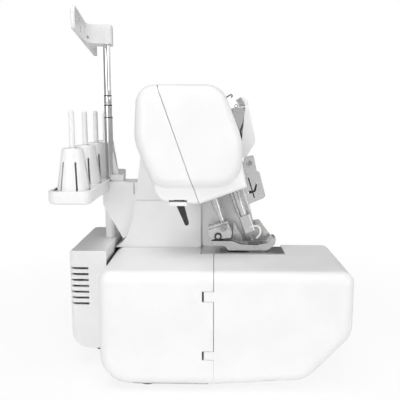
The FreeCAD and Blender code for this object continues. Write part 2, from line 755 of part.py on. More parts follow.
def make_foot():
    """Foot holder on the presser bar, with the sprung foot on its pin."""
    bar = along_bar(rod_z(stitch_x, presser_y, presser_radius, presser_foot_z, bar_top))
    left = foot_left + 1.0
    right = foot_right - 1.0
    holder = prism_x([
        (-6.5, bed_top + 28.0, 1.0), (-27.5, bed_top + 35.1, 1.0), (-32.5, bed_top + 22.0, 1.5),
        (-31.5, bed_top + 16.4, 1.5),
        (-7.3, bed_top + 14.0, 1.5), (-6.5, bed_top + 23.0, 3.0),
    ], left, right)
    groove = prism_x([
        (-6.0, bed_top + 25.6), (-28.2, bed_top + 32.9), (-28.4, bed_top + 32.2), (-6.0, bed_top + 24.9),
    ], left - 1, left + 1.0)
    holder = holder.cut(groove)
    holder = holder.cut(box(stitch_x - 3.4, stitch_x + 3.4, -33.0, -6.0, bed_top + 8.0, bed_top + 24.6))
    holder = holder.cut(rod_x(foot_pin_y, foot_pin_z, foot_pin_radius, foot_left, foot_right))
    screw = rod_x(foot_screw_y, foot_screw_z, foot_screw_radius, foot_left - 1.5, left)
    holder = holder.cut(rod_x(foot_screw_y, foot_screw_z, foot_thread_radius, left, left + 6.0))
    slot = box(
        foot_left - 2.0, foot_left - 0.7, foot_screw_y - 5.0, foot_screw_y + 5.0, foot_screw_z - 0.5,
        foot_screw_z + 0.5,
    )
    slot.rotate(Vector(0, foot_screw_y, foot_screw_z), Vector(1, 0, 0), 35)
    save("foot_holder", holder.cut(bar))
    screw = screw.fuse(rod_x(foot_screw_y, foot_screw_z, foot_thread_radius, left, left + 6.0))
    save("foot_screw", screw.cut(slot).cut(bar))
    pin = rod_x(foot_pin_y, foot_pin_z, foot_pin_radius, left - 1.0, right)
    save("foot_pin", pin.fuse(rod_x(foot_pin_y, foot_pin_z, 3.4, left - 1.6, left)))
    sole_z = plate_top + 1.6
    sole = prism_x([
        (-9.5, bed_top + 13.0, 0.8), (-11.0, bed_top + 8.4, 1.5), (-25.0, bed_top + 7.2, 3.0),
        (-28.5, sole_z, 3.0),
        (-71.5, sole_z, 6.0), (-79.8, bed_top + 9.5, 3.0),
        (-80.8, bed_top + 16.2, 0.8), (-77.8, bed_top + 17.2, 0.8), (-72.0, bed_top + 10.5, 4.0),
        (-60.0, bed_top + 8.6, 5.0),
        (-41.0, bed_top + 9.6, 5.0), (-33.0, bed_top + 13.0, 2.0),
    ], foot_left, foot_right)
    sole = sole.cut(
        prism_z(rectangle(stitch_x - 7.0, stitch_x + 7.0, -70.0, -50.0, 2.0), plate_top, plate_top + 30.0),
    )
    lug = prism_x([
        (-11.5, bed_top + 8.5), (-12.0, bed_top + 23.0, 3.2), (-22.0, bed_top + 23.0, 3.2),
        (-23.5, bed_top + 8.5),
    ], stitch_x - 3.0, stitch_x + 3.0)
    guard = prism_x(
        [
            (-34.0, bed_top + 10.0), (-34.8, bed_top + 33.0, 1.0), (-46.8, bed_top + 8.0),
        ], foot_right - 0.8, foot_right + 1.2,
    )
    sole = sole.fuse([lug, guard]).cut(
        rod_x(foot_pin_y, foot_pin_z, foot_pin_radius + running_gap, foot_left, foot_right),
    )
    save("presser_foot", sole)


def make_lever():
    """Black lifter lever under the rear of the head, with its pivot pin."""
    left = lever_x - lever_width / 2
    right = lever_x + lever_width / 2
    lever = prism_x([
        (lever_pivot_y + 6.0, lever_pivot_z - 6.0, 4.0), (lever_pivot_y + 6.0, lever_pivot_z + 6.0, 5.0),
        (lever_pivot_y - 6.0, lever_pivot_z + 6.0, 5.0), (lever_pivot_y - 6.5, bed_top + 54.0, 30.0),
        (13.5, bed_top + 35.5, 1.8), (17.5, bed_top + 34.5, 1.8),
        (25.5, bed_top + 53.0, 30.0),
    ], left, right)
    save(
        "lifter_lever",
        lever.cut(rod_x(lever_pivot_y, lever_pivot_z, lever_pin + running_gap, left - 1, right + 1)),
    )


def make_thread_parts():
    """Pierced thread plate at the front of the head, the tension panel and its dials."""
    plate = prism_x([
        (-43.4, bed_top + 106.0, 4.0), (-54.0, bed_top + 108.5, 2.0), (-57.5, bed_top + 92.0, 1.0),
        (-60.5, bed_top + 90.0, 2.0),
        (-67.5, bed_top + 64.5, 3.0), (-64.0, bed_top + 62.0, 2.0),
        (-49.5, bed_top + 56.0, 1.0), (-45.0, bed_top + 74.0),
    ], -96.0, -94.4)
    slot = prism_x(
        [
            (-48.2, bed_top + 84.0), (-49.4, bed_top + 84.4), (-56.2, bed_top + 63.0),
            (-55.0, bed_top + 62.6),
        ],
        -100, -90,
    )
    hook = prism_x([
        (-57.0, bed_top + 79.0), (-58.4, bed_top + 79.0), (-57.0, bed_top + 69.5, 3.0),
        (-49.0, bed_top + 66.8), (-48.6, bed_top + 70.2),
        (-54.6, bed_top + 70.8, 1.0),
    ], -100, -90)
    flange = prism_x(
        [
            (-45.9, bed_top + 78.0), (-43.0, bed_top + 92.0), (-40.5, bed_top + 100.5),
            (-43.4, bed_top + 101.0), (-48.8, bed_top + 78.5),
        ], -96.0, -70.0,
    )
    save("thread_plate", plate.cut(slot).cut(hook).fuse(flange).cut(head_solid()))
    panel = prism_x([
        (arm_front + 8.0, bed_top + 169.5), (-44.0, bed_top + 169.0, 2.0), (-48.5, bed_top + 166.0, 3.0),
        (-58.0, bed_top + 121.0, 10.0),
        (-47.0, bed_top + 103.0, 3.0),
        (arm_front + 2.0, bed_top + 105.0),
    ], panel_left, panel_right)
    panel = panel.cut(prism_x(head_corners(0), panel_left - 1, panel_right + 1))
    panel = panel.cut(column_solid(panel_left - 1, panel_right + 1))
    panel = panel.cut(prism_x([
        (arm_front + 12.0, bed_top + 157.5), (-46.2, bed_top + 159.5), (-44.6, bed_top + 164.0, 2.0),
        (-40.6, bed_top + 170.0),
        (arm_front + 12.0, bed_top + 170.0),
    ], panel_left - 1, panel_right + 1))
    pocket = [
        (arm_front + 10.0, bed_top + 157.0), (-46.0, bed_top + 158.3), (-42.8, bed_top + 122.5),
        (arm_front + 6.0, bed_top + 122.5),
    ]
    plate_inner = panel_left + 6.0
    end_plate = prism_x(pocket, panel_left + 1.5, plate_inner)
    panel = panel.cut(prism_x(pocket, panel_left - 1, plate_inner))
    end_plate = end_plate.cut(prism_x(head_corners(0), panel_left - 1, plate_inner + 1))
    save("tension_end_plate", end_plate.cut(column_solid(panel_left - 1, plate_inner + 1)))
    for i in range(tension_count):
        x = dial_first_x + dial_pitch * i
        half = dial_width / 2
        panel = panel.cut(rod_x(dial_y, dial_z, dial_radius + 0.5, x - half - 0.5, x + half + 0.5))
        dial = turned_x(dial_y, dial_z, [
            (x - half, dial_pin + running_gap), (x - half, dial_radius - 1.0),
            (x - half + 1.0, dial_radius),
            (x + half - 1.0, dial_radius), (x + half, dial_radius - 1.0),
            (x + half, dial_pin + running_gap),
        ])
        for step in range(18):
            angle = math.radians(20 * step)
            groove_y = dial_y + (dial_radius + 0.5) * math.cos(angle)
            groove_z = dial_z + (dial_radius + 0.5) * math.sin(angle)
            dial = dial.cut(rod_x(groove_y, groove_z, 1.0, x - half, x + half))
        save("tension_dial_%d" % (i + 1), dial)
    save("tension_panel", panel.cut(dial_shaft()))


def dial_shaft():
    """Rod through the panel that the tension dials turn on."""
    return rod_x(dial_y, dial_z, dial_pin, panel_left + 4.0, panel_right - 4.0)


def make_pins():
    """Pins fixed in the casing: cover hinges in one group, the smaller pivots in another."""
    hinges = [
        rod_z(hinge_x, hinge_y, hinge_pin_radius, low - hinge_lug, high + hinge_lug)
        for low, high in tab_heights
    ]
    hinges.append(
        rod_x(looper_axis_y, looper_axis_z, looper_pin_radius, looper_left + 1.0, looper_lug_right),
    )
    hinges.append(rod_x(looper_axis_y, looper_axis_z, looper_pin_radius, arm_right - 8.0, arm_right + 4.0))
    save("cover_hinge_pins", group(hinges))
    knife = rod_x(knife_pivot_y, knife_pivot_z, knife_pin, blade_left - 0.4, frame_right)
    knife = knife.fuse(
        rod_x(knife_pivot_y, knife_pivot_z, knife_pin + 1.5, blade_left - 1.9, blade_left - 0.4),
    )
    lever = rod_x(lever_pivot_y, lever_pivot_z, lever_pin, skirt_left + wall, arm_left)
    switch = rod_y(switch_pin_x, switch_z, switch_pin, switch_y - 9.0, switch_y + 9.0)
    save("pivot_pins", group([knife, lever, switch, dial_shaft()]))


def looper_corners(inset):
    """Side outline of the looper cover, drawn in by a wall."""
    rear = bed_front - seam_gap
    return [
        (rear, bed_top - inset), (rear - 8.0 + inset / 2, bed_top - inset, 14.0 - inset),
        (-131.0 + inset, 36.0, 18.0 - inset),
        (-112.0 + inset / 2, 8.0 + inset, 8.0 - inset), (rear, 8.0 + inset),
    ]


def make_looper_cover():
    """Sloping cover in front of the loopers, tipping forward on two pins."""
    left = looper_left
    right = arm_right
    shell = prism_x(looper_corners(0), left, right)
    shell = shell.cut(prism_x(looper_corners(wall), left + wall, right - wall))
    behind = prism_x([
        (-97.0, 0), (-97.0, 30.0, 6.0), (-78.0, 62.0, 20.0), (bed_front - 8.0, bed_top - wall - 10.0, 6.0),
        (bed_front - 8.0, bed_top - wall), (0, bed_top - wall), (0, 0),
    ], left - 1, right + 1)
    shell = shell.cut(behind)
    notch = box(looper_lug_left - 1.0, looper_lug_right + 1.0, looper_axis_y - 7.0, 0, 0, looper_axis_z)
    for x0, x1 in ((left, looper_lug_left - fit_gap), (right - 8.0, right)):
        shell = shell.fuse(rod_x(looper_axis_y, looper_axis_z, looper_pin_radius + 3.0, x0, x1))
    shell = shell.cut(notch)
    bore = rod_x(looper_axis_y, looper_axis_z, looper_pin_radius + running_gap, left + 1.0, right + 1)
    save("looper_cover", shell.cut(bore))


def make_right_cover():
    """Right end cover over the bed, arm and looper space."""
    left = arm_right + fit_gap
    bed = prism_x([
        (-104.0, cover_bottom, 6.0), (-126.0, 34.0, 16.0), (-44.0, bed_top),
        (bed_rear, bed_top, bed_edge_round),
        (bed_rear, cover_bottom, bed_rear_round),
    ], left, casing_right)
    cover = bed.fuse([prism_x(head_corners(0), left, casing_right), column_solid(left, casing_right)])
    cover = cover.cut(rod_x(shaft_y, shaft_z, shaft_radius + 4.0, left - 1, casing_right + 1))
    cover = cover.cut(rod_x(looper_axis_y, looper_axis_z, looper_pin_radius, left - 1, arm_right + 4.0))
    for y, z in (stitch_dial, feed_dial):
        cover = cover.cut(rod_x(y, z, knob_stub + running_gap, casing_right - 10.0, casing_right + 1))
    switch_well = rectangle(switch_y - 9.0, switch_y + 9.0, switch_z - 12.0, switch_z + 12.0)
    cover = cover.cut(prism_x(switch_well, casing_right - 6.0, casing_right + 1))
    cover = cover.cut(prism_x(inlet_corners(0), left - 1, casing_right + 1))
    save("right_cover", cover)
    rocker = prism_y([
        (casing_right - 4.0, switch_z - 9.5), (casing_right + 0.5, switch_z - 10.5),
        (casing_right + 1.5, switch_z),
        (casing_right + 3.0, switch_z + 10.5), (casing_right - 4.0, switch_z + 9.5),
    ], switch_y - 8.0, switch_y + 8.0)
    pin_hole = rod_y(switch_pin_x, switch_z, switch_pin + running_gap, switch_y - 9, switch_y + 9)
    save("power_switch", rocker.cut(pin_hole))
    socket = prism_x(inlet_corners(0), left, casing_right + 1.5)
    socket = socket.cut(prism_x(inlet_corners(2.0), left + 2.0, casing_right + 2))
    save("inlet_socket", socket)
    for name, (y, z) in (("stitch_length_dial", stitch_dial), ("differential_dial", feed_dial)):
        knob = turned_x(y, z, [
            (casing_right - 9.0, 0), (casing_right - 9.0, knob_stub), (casing_right + fit_gap, knob_stub),
            (casing_right + fit_gap, knob_radius), (casing_right + 8.0, knob_radius - 1.0),
            (casing_right + 10.0, knob_radius - 3.0), (casing_right + 10.0, 0),
        ])
        for step in range(12):
            angle = math.radians(30 * step)
            groove_y = y + (knob_radius + 1.0) * math.cos(angle)
            groove_z = z + (knob_radius + 1.0) * math.sin(angle)
            knob = knob.cut(rod_x(groove_y, groove_z, 2.2, casing_right - 1, casing_right + 11))
        save(name, knob)
    spots = [
        (85.0, 20.0), (-90.0, 30.0), (55.0, bed_top + 158.0), (-20.0, bed_top + 158.0),
        (-30.0, bed_top + 28.0), (85.0, bed_top - 12.0),
    ]
    save("cover_screws", group([rod_x(y, z, 3.0, casing_right, casing_right + 1.2) for y, z in spots]))


def inlet_corners(inset):
    """Outline of the mains inlet, drawn in by its wall."""
    return rectangle(
        inlet_y - 12.0 + inset, inlet_y + 12.0 - inset, inlet_z - 8.0 + inset, inlet_z + 8.0 - inset,
        3.0 - inset / 2,
    )


def box_block(inset):
    """Outside of the motor box, drawn in by a wall."""
    front = bed_rear + fit_gap + inset
    rear = box_rear - inset
    left = box_left + inset
    right = box_right - inset
    side = prism_x([
        (front, box_bottom + inset), (rear, box_bottom + inset, 20.0 - inset),
        (rear, box_top - inset, 5.0 - inset), (front, box_top - inset),
    ], left, right)
    plan = prism_z([
        (left, front), (right, front), (right, rear, 9.0 - inset), (left, rear, 9.0 - inset),
    ], 0, 200)
    return side.common(plan)


def make_motor_box():
    """Vented motor box behind the bed, standing on two tall feet."""
    shell = box_block(0).cut(box_block(wall)).cut(belt_window())
    for i in range(vent_count):
        z = vent_first_z + vent_pitch * i
        for x0 in (box_left - 1, box_right - 5):
            shell = shell.cut(
                box(x0, x0 + 6.0, vent_front_y, box_rear + 1, z - vent_height / 2, z + vent_height / 2),
            )
    save("motor_box", shell)


def belt_face(motor_pulley, shaft_pulley, x):
    """Face inside a belt line round both pulleys."""
    motor = Vector(x, motor_y, motor_z)
    shaft = Vector(x, shaft_y, shaft_z)
    along = (motor - shaft).normalize()
    across = Vector(0, -along.z, along.y)
    turn = math.acos((shaft_pulley - motor_pulley) / (motor - shaft).Length)
    upper = along * math.cos(turn) + across * math.sin(turn)
    lower = along * math.cos(turn) - across * math.sin(turn)
    shaft_high = shaft + upper * shaft_pulley
    shaft_low = shaft + lower * shaft_pulley
    motor_high = motor + upper * motor_pulley
    motor_low = motor + lower * motor_pulley
    edges = [
        Part.LineSegment(shaft_high, motor_high).toShape(),
        Part.Arc(motor_high, motor + along * motor_pulley, motor_low).toShape(),
        Part.LineSegment(motor_low, shaft_low).toShape(),
        Part.Arc(shaft_low, shaft - along * shaft_pulley, shaft_high).toShape(),
    ]
    return Part.Face(Part.Wire(edges))


def pulley(y, z, radius, bore):
    """Flanged belt pulley."""
    left = belt_left - 0.6
    right = belt_left + belt_width + 0.6
    return turned_x(y, z, [
        (left - 1.5, bore), (left - 1.5, radius + 3.0), (left, radius + 3.0), (left, radius),
        (right, radius),
        (right, radius + 3.0), (right + 1.5, radius + 3.0), (right + 1.5, bore),
    ])


def make_drive():
    """Motor, belt, main shaft and handwheel."""
    motor = rod_x(motor_y, motor_z, motor_radius, -95.0, -24.0)
    motor = motor.fuse(box(-85.0, -35.0, motor_y - 14.0, motor_y, box_bottom + wall, motor_z - 8.0))
    motor = motor.cut(rod_x(motor_y, motor_z, motor_shaft_radius + running_gap, -60.0, -20.0))
    save("motor", motor)
    rotor = pulley(motor_y, motor_z, motor_pulley_radius, 0)
    save("motor_pulley", rotor.fuse(rod_x(motor_y, motor_z, motor_shaft_radius, -58.0, 4.0)))
    inner = belt_face(motor_pulley_radius + fit_gap, shaft_pulley_radius + fit_gap, belt_left)
    outer = belt_face(motor_pulley_radius + belt_thickness, shaft_pulley_radius + belt_thickness, belt_left)
    save("drive_belt", outer.cut(inner).extrude(Vector(belt_width, 0, 0)))
    cam = rod_x(shaft_y + 4.0, shaft_z, 15.0, 30.0, 38.0)
    save("main_shaft", rod_x(shaft_y, shaft_z, shaft_radius, -42.0, shaft_right).fuse(cam))
    save("shaft_pulley", pulley(shaft_y, shaft_z, shaft_pulley_radius, shaft_radius))
    right = overall_width / 2
    wheel = turned_x(shaft_y, shaft_z, [
        (handwheel_left, shaft_radius), (handwheel_left, 40.0), (handwheel_left + 3.0, handwheel_radius),
        (right - 12.0, handwheel_radius), (right - 5.0, handwheel_radius - 4.0), (right, 33.0),
        (right, 28.0), (right - 9.0, 24.0),
        (right - 9.0, 14.0), (right - 3.0, 12.0), (right - 3.0, 0), (shaft_right, 0),
        (shaft_right, shaft_radius),
    ])
    for step in range(24):
        angle = math.radians(15 * step)
        groove_y = shaft_y + (handwheel_radius + 1.0) * math.cos(angle)
        groove_z = shaft_z + (handwheel_radius + 1.0) * math.sin(angle)
        wheel = wheel.cut(rod_x(groove_y, groove_z, 2.2, handwheel_left - 1, right - 10.0))
    save("handwheel", wheel)


def make_stand():
    """Spool stand on its bracket and post, with the pins and cone holders."""
    half = tray_length / 2
    tray = prism_z(
        rectangle(stand_x - half, stand_x + half, tray_front, rear_face, 9.0), tray_bottom, tray_rim,
    )
    tray = tray.makeFillet(3.0, edges_at_z(tray, tray_bottom))
    left = stand_x - half + tray_wall
    right = stand_x + half - tray_wall
    dish = rectangle(left, right, tray_front + tray_wall, rear_face - tray_wall, 6.5)
    tray = tray.cut(prism_z(dish, tray_floor, tray_rim + 1))
    left = stand_x - bracket_width / 2
    right = stand_x + bracket_width / 2
    bracket = prism_x([
        (tray_front + 4.0, bracket_top), (66.0, bracket_top), (70.0, bed_top + 28.0), (91.5, bed_top + 9.0),
        (114.0, bed_top + 49.0, 4.0), (114.0, tray_bottom + 1.0),
        (tray_front + 4.0, tray_bottom + 1.0),
    ], left, right).cut(column_solid(left - 1, right + 1))
    bracket = bracket.cut(box(left - 1, left + 1.5, 77.8, 78.6, bed_top + 61.0, bed_top + 73.8))
    stand = tray.fuse(bracket)
    socket = box(
        stand_x - 8.0, stand_x + 8.0, pole_y - 17.0, pole_y - 2.0, bracket_top - 1.0, bracket_top + 7.0,
    )
    gusset = prism_x(
        [
            (pole_y - 3.0, bed_top + 115.0), (pole_y - 11.0, bracket_top + 6.0),
            (pole_y - 3.0, bracket_top + 6.0),
        ],
        stand_x - 1.6, stand_x + 1.6,
    )
    stand = stand.fuse([socket, gusset])
    stand = stand.cut(rod_z(stand_x, pole_y, pole_radii[0], box_top - 1, pole_tops[0]))
    save("spool_stand", stand)
    post = rod_z(stand_x, pole_y, post_radius, box_top, tray_bottom).cut(
        rod_z(stand_x, pole_y, pole_radii[0], box_top - 1, pole_tops[0]),
    )
    save("stand_post", post.cut(stand))
    pins = []
    cones = []
    for i in range(spool_count):
        x = stand_x + spool_pitch * (i - (spool_count - 1) / 2)
        pins.append(turned_z(x, spool_y, [
            (0, tray_floor), (pin_base_radius, tray_floor), (pin_tip_radius, pin_top - 2.0),
            (pin_tip_radius - 1.0, pin_top - 0.4),
            (0, pin_top),
        ]))
        cones.append(make_cone(x))
    save("spool_pins", group(pins))
    save("cone_holders", group(cones))


def make_cone(x):
    """One slotted cone holder over a spool pin."""
    top = tray_floor + cone_height
    slope = (cone_base_radius - cone_top_radius) / cone_height
    cone = turned_z(x, spool_y, [
        (cone_base_radius - cone_wall, tray_floor), (cone_base_radius, tray_floor),
        (cone_top_radius, top - 1.0), (cone_top_radius - 1.0, top),
        (pin_base_radius + fit_gap, top), (pin_base_radius + fit_gap, top - 2.0),
        (cone_top_radius - cone_wall + 2.0 * slope, top - 2.0),
    ])
    slot_top = tray_floor + 0.68 * cone_height
    for step in range(6):
        slot = box(x, x + 30.0, spool_y - 1.0, spool_y + 1.0, tray_floor - 1, slot_top)
        slot.rotate(Vector(x, spool_y, 0), Vector(0, 0, 1), 60 * step + 25)
        cone = cone.cut(slot)
    return cone


def make_pole():
    """Three telescoping tubes and the thread guide bar on top."""
    names = ("pole_lower", "pole_middle", "pole_upper")
    for name, radius, low, high in zip(names, pole_radii, pole_feet, pole_tops):
        tube = rod_z(stand_x, pole_y, radius, low, high)
        if name != "pole_upper":
            tube = tube.cut(rod_z(stand_x, pole_y, radius - pole_wall, low - 1, high + 1))
        save(name, tube)
    half = guide_length / 2
    near = guide_setback - guide_thickness / 2
    far = guide_setback + guide_thickness / 2
    plan = [
        (-half, far, 1.8), (-half, near, 1.8), (-14.0, near, 14.0), (-14.0, -7.0, 5.0), (14.0, -7.0, 5.0),
        (14.0, near, 14.0),
        (half, near, 1.8), (half, far, 1.8),
    ]
    bar = prism_z(plan, guide_bottom, guide_bottom + guide_height)
    bar = bar.common(
        prism_y(rectangle(-half, half, guide_bottom, guide_bottom + guide_height, 5.0), -50, 50),
    )
    for i in range(spool_count):
        x = spool_pitch * (i - (spool_count - 1) / 2)
        bar = bar.cut(rod_y(x - 7.0, guide_bottom + 13.5, eyelet_radius, 0, 50))
        bar = bar.cut(rod_y(x + 7.0, guide_bottom + 5.5, eyelet_radius, 0, 50))
    bar = bar.cut(rod_z(0, 0, pole_radii[2] + running_gap, guide_bottom - 1, pole_tops[2] + 0.5))
    bar.rotate(Vector(0, 0, 0), Vector(0, 0, 1), guide_turn)
    save("thread_guide_bar", bar.translate(Vector(stand_x, pole_y, 0)))


def main():
    os.makedirs("parts", exist_ok=True)
    make_base()
    make_end_cover()
    make_side_cover()
    make_bed()
    make_frame()
    make_loopers()
    make_feed_and_knives()
    make_needle_plate()
    make_head()
    make_arm()
    make_bars()
    make_foot()
    make_lever()
    make_thread_parts()
    make_looper_cover()
    make_pins()
    make_right_cover()
    make_motor_box()
    make_drive()
    make_stand()
    make_pole()


main()
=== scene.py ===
# %% [markdown]
# An overlock machine seen from the operator's left: white mouldings, a slanted head,
# a thread stand behind it and a small bright group of steel parts at the needles.
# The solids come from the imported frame, and this lesson gives them their finishes,
# adds the fine pieces that are easier to model by hand, and sets up the studio.

# %% Load the frame
import math

import bpy
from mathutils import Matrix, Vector


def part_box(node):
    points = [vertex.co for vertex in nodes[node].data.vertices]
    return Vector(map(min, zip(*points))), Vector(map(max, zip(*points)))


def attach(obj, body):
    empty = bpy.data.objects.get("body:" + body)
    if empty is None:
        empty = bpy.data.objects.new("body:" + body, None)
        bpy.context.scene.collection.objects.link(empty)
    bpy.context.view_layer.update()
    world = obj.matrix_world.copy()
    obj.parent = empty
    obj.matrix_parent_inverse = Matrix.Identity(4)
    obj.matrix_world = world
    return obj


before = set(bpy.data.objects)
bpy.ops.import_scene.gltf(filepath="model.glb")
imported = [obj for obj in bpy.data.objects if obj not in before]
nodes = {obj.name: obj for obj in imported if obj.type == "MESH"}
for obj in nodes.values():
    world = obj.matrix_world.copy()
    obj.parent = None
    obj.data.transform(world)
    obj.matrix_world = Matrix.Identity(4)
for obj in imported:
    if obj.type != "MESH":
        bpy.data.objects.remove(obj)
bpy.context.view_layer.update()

# %% [markdown]
# The camera stands a little below the top of the head, 67 cm to the left of the middle of
# the machine, and looks slightly down. Its place was worked out from the lengths and
# heights that the picture gives, so it is written as a place and two small angles.

# %% Camera
camera_place = Vector((-0.670, -0.0114, 0.272))
camera_pitch = math.radians(8.87)
camera_yaw = math.radians(1.37)
focal_px = 545.0
frame_px = 400.0
sensor_mm = 36.0

bpy.ops.object.select_all(action="DESELECT")
bpy.ops.object.camera_add(location=camera_place)
camera = bpy.context.object
camera.name = "photo_camera"
camera.data.sensor_width = sensor_mm
camera.data.lens = focal_px / frame_px * sensor_mm
gaze = Vector((
    math.cos(camera_pitch) * math.cos(camera_yaw),
    math.cos(camera_pitch) * math.sin(camera_yaw),
    -math.sin(camera_pitch),
))
camera.rotation_euler = gaze.to_track_quat("-Z", "Y").to_euler()
bpy.context.scene.camera = camera
print("lens mm:", round(camera.data.lens, 2))

# %% [markdown]
# A shader node has many inputs, and a scene sets only a few of them. This helper makes a
# node and sets the inputs that it is given by name, so that a tree reads as a list.

# %% Helper for nodes
def add_node(tree, kind, **values):
    """Shader node of a kind, with the inputs that are named set to their values."""
    node = tree.nodes.new("ShaderNode" + kind)
    for name, value in values.items():
        node.inputs[name.replace("_", " ").title()].default_value = value
    return node


# %% [markdown]
# A white product on white needs soft light from many sides, or its faces vanish into
# the background. The world is white to the camera, and a softer grey to everything
# else. It gets darker behind the machine, so that edges turning away reflect grey and
# stand out, and the plated pole has dark streaks.

# %% World
white = (1.0, 1.0, 1.0, 1.0)
turn_start, turn_end = -0.1, 0.8
ambient_front, ambient_back = 0.46, 0.10

world = bpy.data.worlds.new("studio_world")
bpy.context.scene.world = world
world.use_nodes = True
tree = world.node_tree
tree.nodes.clear()
path = add_node(tree, "LightPath")
seen = add_node(tree, "Math")
seen.operation = "MAXIMUM"
ambient = add_node(tree, "Background", color=white)
direction = add_node(tree, "TexCoord")
parts = add_node(tree, "SeparateXYZ")
away = add_node(
    tree, "MapRange",
    from_min=turn_start, from_max=turn_end, to_min=ambient_front, to_max=ambient_back,
)
backdrop = add_node(tree, "Background", color=white, strength=1.0)
blend = add_node(tree, "MixShader")
output = add_node(tree, "OutputWorld")
tree.links.new(direction.outputs["Generated"], parts.inputs["Vector"])
tree.links.new(parts.outputs["X"], away.inputs["Value"])
tree.links.new(away.outputs["Result"], ambient.inputs["Strength"])
tree.links.new(path.outputs["Is Camera Ray"], seen.inputs[0])
tree.links.new(path.outputs["Is Transmission Ray"], seen.inputs[1])
tree.links.new(seen.outputs[0], blend.inputs["Fac"])
tree.links.new(ambient.outputs[0], blend.inputs[1])
tree.links.new(backdrop.outputs[0], blend.inputs[2])
tree.links.new(blend.outputs[0], output.inputs["Surface"])
bpy.context.scene.view_settings.view_transform = "Standard"
print("world ready")

# %% [markdown]
# One large soft lamp at the rear left does the modelling, as in the picture. A lamp
# overhead lifts the tops, a weak one the operator's side, and a low one the round edges
# under the head. A fill lamp keeps the side with the handwheel from going grey.

# %% Lamps
def softbox(name, place, target, size, watts):
    """Round area lamp at a place, turned to its target."""
    bpy.ops.object.select_all(action="DESELECT")
    bpy.ops.object.light_add(type="AREA", location=place)
    lamp = bpy.context.object
    lamp.name = name
    lamp.data.shape = "DISK"
    lamp.data.size = size
    lamp.data.energy = watts
    lamp.rotation_euler = (Vector(target) - Vector(place)).to_track_quat("-Z", "Y").to_euler()
    print(name, watts, "W")


softbox("key_softbox", (-1.35, 0.72, 0.55), target=(-0.10, 0.0, 0.16), size=1.0, watts=6.8)
softbox("top_softbox", (-0.50, 0.10, 1.50), target=(-0.05, 0.0, 0.15), size=0.9, watts=9.4)
softbox("front_softbox", (-0.90, -1.20, 0.40), target=(-0.05, -0.05, 0.15), size=0.9, watts=4.9)
softbox("low_softbox", (-1.40, 0.20, 0.06), target=(-0.10, 0.0, 0.22), size=0.8, watts=0.8)
softbox("fill_softbox", (0.90, -1.30, 0.60), target=(0.05, 0.0, 0.15), size=0.9, watts=3.0)

# %% [markdown]
# The floor is plain and pale. Close to the machine a part of it takes light and keeps
# the soft shadow; further out it turns to plain white, so that no horizon shows.

# %% Floor
floor_size = 12.0
floor_tone = 0.93
shadow_reach, shadow_end = 0.22, 0.50
glow_near, glow_far = 0.86, 1.0

bpy.ops.object.select_all(action="DESELECT")
bpy.ops.mesh.primitive_plane_add(size=floor_size, location=(0, 0, 0))
floor = bpy.context.object
floor.name = "studio_floor"
floor_finish = bpy.data.materials.new("floor_white")
floor_finish.use_nodes = True
tree = floor_finish.node_tree
tree.nodes.clear()
matte = add_node(tree, "BsdfDiffuse", color=(floor_tone, floor_tone, floor_tone, 1.0))
glow = add_node(tree, "Emission", color=white, strength=1.0)
path = add_node(tree, "LightPath")
spot = add_node(tree, "TexCoord")
reach = add_node(tree, "VectorMath")
reach.operation = "LENGTH"
fade = add_node(
    tree, "MapRange", from_min=shadow_reach, from_max=shadow_end, to_min=glow_near, to_max=glow_far,
)
share = add_node(tree, "Math")
share.operation = "MULTIPLY"
blend = add_node(tree, "MixShader")
output = add_node(tree, "OutputMaterial")
tree.links.new(spot.outputs["Object"], reach.inputs[0])
tree.links.new(reach.outputs["Value"], fade.inputs["Value"])
tree.links.new(path.outputs["Is Camera Ray"], share.inputs[0])
tree.links.new(fade.outputs["Result"], share.inputs[1])
tree.links.new(share.outputs[0], blend.inputs["Fac"])
tree.links.new(matte.outputs[0], blend.inputs[1])
tree.links.new(glow.outputs[0], blend.inputs[2])
tree.links.new(blend.outputs[0], output.inputs["Surface"])
floor.data.materials.append(floor_finish)
print("floor ready")

# %% [markdown]
# Every finish here starts from the same small kit: noise on object coordinates for
# colour and roughness that are never quite even, a fine bump, and painted shade: the
# colour is darkened where a surface lies in a narrow gap, standing in for shade. Only the
# numbers change, so one helper builds the tree and each finish passes its own values.

# %% Helper for finishes
# Painted shade in gaps and seams: how far the occlusion reaches, how dark it paints, its samples,
# and the occlusion at which it is full and gone.
painted_shade_reach = 0.006
painted_shade_tone = 0.05
painted_shade_samples = 8
painted_shade_shut, painted_shade_open = 0.15, 0.60
cloud_detail, fine_detail = 4.0, 3.0
ramp_start, ramp_end = 0.3, 0.7
relief_depth = 0.0004


